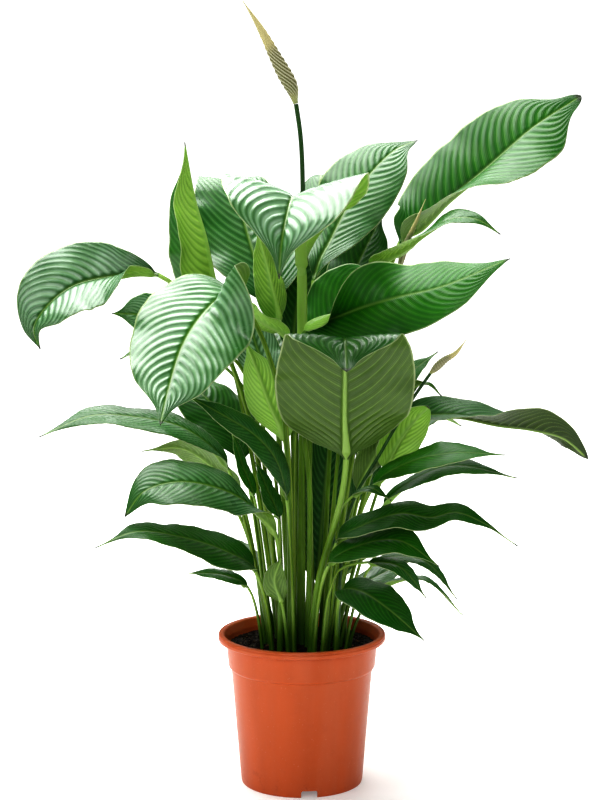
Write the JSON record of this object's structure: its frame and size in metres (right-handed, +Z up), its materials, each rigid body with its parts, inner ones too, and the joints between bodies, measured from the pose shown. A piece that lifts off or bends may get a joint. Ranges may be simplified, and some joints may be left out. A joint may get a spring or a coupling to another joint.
{
  "type": "potted peace lily",
  "caption": "Peace lily with long-stalked lance-shaped leaves and closed pale flowers, growing in soil in a round tapered plastic nursery pot.",
  "frame": {"origin": "on the floor under the pot's centre", "axes": "+Z up, -Y towards the side that the picture shows, +X to its right"},
  "size_m": [0.5685, 0.4045, 0.7874],
  "materials": {
    "terracotta_plastic": "glossy moulded plastic",
    "dark_soil": "rough moist potting soil",
    "leaf_green": "satin waxy leaf",
    "stalk_green": "satin stalk",
    "cream_spathe": "soft matte petal"
  },
  "bodies": {
    "root": {"back_flower_spathe": "cream_spathe", "back_flower_stalk": "stalk_green", "leaf_arched_small_right": "leaf_green", "leaf_back_high_left": "leaf_green", "leaf_back_high_right": "leaf_green", "leaf_back_left": "leaf_green", "leaf_back_low": "leaf_green", "leaf_back_low_far_right": "leaf_green", "leaf_back_low_left": "leaf_green", "leaf_back_low_right": "leaf_green", "leaf_back_right": "leaf_green", "leaf_behind_front_left": "leaf_green", "leaf_big_centre": "leaf_green", "leaf_bright_right": "leaf_green", "leaf_broad_back_left": "leaf_green", "leaf_broad_left": "leaf_green", "leaf_crown_back": "leaf_green", "leaf_crown_front": "leaf_green", "leaf_crown_right": "leaf_green", "leaf_dark_diagonal": "leaf_green", "leaf_dark_point_left": "leaf_green", "leaf_drooping_right": "leaf_green", "leaf_far_left": "leaf_green", "leaf_front_left": "leaf_green", "leaf_inner_green": "leaf_green", "leaf_inner_left": "leaf_green", "leaf_lime_inner": "leaf_green", "leaf_lime_left": "leaf_green", "leaf_lime_right": "leaf_green", "leaf_long_left": "leaf_green", "leaf_long_right": "leaf_green", "leaf_low_left": "leaf_green", "leaf_low_right": "leaf_green", "leaf_lower_right": "leaf_green", "leaf_mid_right": "leaf_green", "leaf_mid_right_under": "leaf_green", "leaf_narrow_low_right": "leaf_green", "leaf_narrow_right": "leaf_green", "leaf_olive_right": "leaf_green", "leaf_pale_back_left": "leaf_green", "leaf_pale_inner": "leaf_green", "leaf_right_hook": "leaf_green", "leaf_shade_centre": "leaf_green", "leaf_shade_centre_right": "leaf_green", "leaf_shade_right": "leaf_green", "leaf_slim_left": "leaf_green", "leaf_small_dark_right": "leaf_green", "leaf_small_low_left": "leaf_green", "leaf_small_point_right": "leaf_green", "leaf_small_teal": "leaf_green", "leaf_streaked_left": "leaf_green", "leaf_tall_right": "leaf_green", "leaf_under_left": "leaf_green", "leaf_upright_left": "leaf_green", "pot": "terracotta_plastic", "side_flower_spathe": "cream_spathe", "side_flower_stalk": "stalk_green", "soil": "dark_soil", "tall_flower_spathe": "cream_spathe", "tall_flower_stalk": "stalk_green"}
  },
  "joints": []
}
